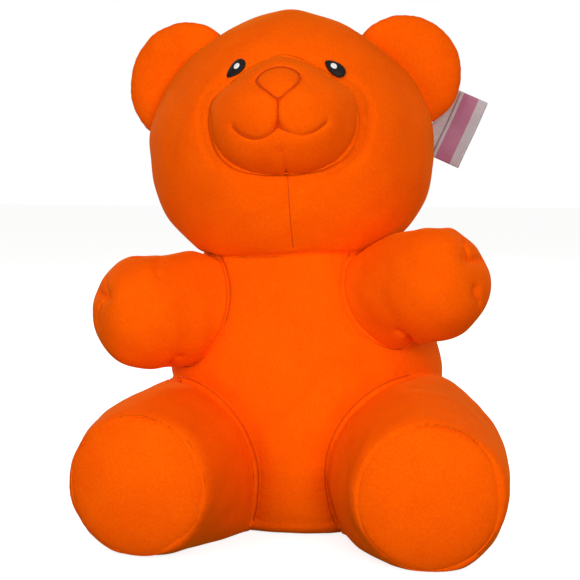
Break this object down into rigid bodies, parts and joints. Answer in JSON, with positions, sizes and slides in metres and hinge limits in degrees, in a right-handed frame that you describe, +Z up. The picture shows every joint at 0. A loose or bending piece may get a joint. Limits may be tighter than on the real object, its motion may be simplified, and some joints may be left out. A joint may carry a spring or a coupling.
{
  "type": "plush gummy bear toy",
  "caption": "Seated stuffed plush toy in the shape of a gummy bear, with rounded ears and muzzle, stubby arms, flat foot soles, embroidered face and a folded ribbon label.",
  "frame": {"origin": "middle of the flat seat under the torso, on the surface the toy sits on", "axes": "+Z up through the head, -Y the way the bear faces, +X the bear's own left"},
  "size_m": [0.323, 0.2706, 0.4039],
  "materials": {
    "plush": "short-pile orange velboa plush, soft nap",
    "eye_thread": "black satin-stitch embroidery",
    "glint_thread": "white satin-stitch embroidery",
    "satin_ribbon": "woven satin ribbon with a plain mauve field"
  },
  "bodies": {
    "root": {"head": "plush", "muzzle": "plush", "ear_right": "plush", "ear_left": "plush", "torso": "plush", "arm_right": "plush", "arm_left": "plush", "leg_right": "plush", "leg_left": "plush", "sole_right": "plush", "sole_left": "plush", "eye_right": "eye_thread", "eye_left": "eye_thread", "eye_glint_right": "glint_thread", "eye_glint_left": "glint_thread", "label": "satin_ribbon"}
  },
  "joints": []
}
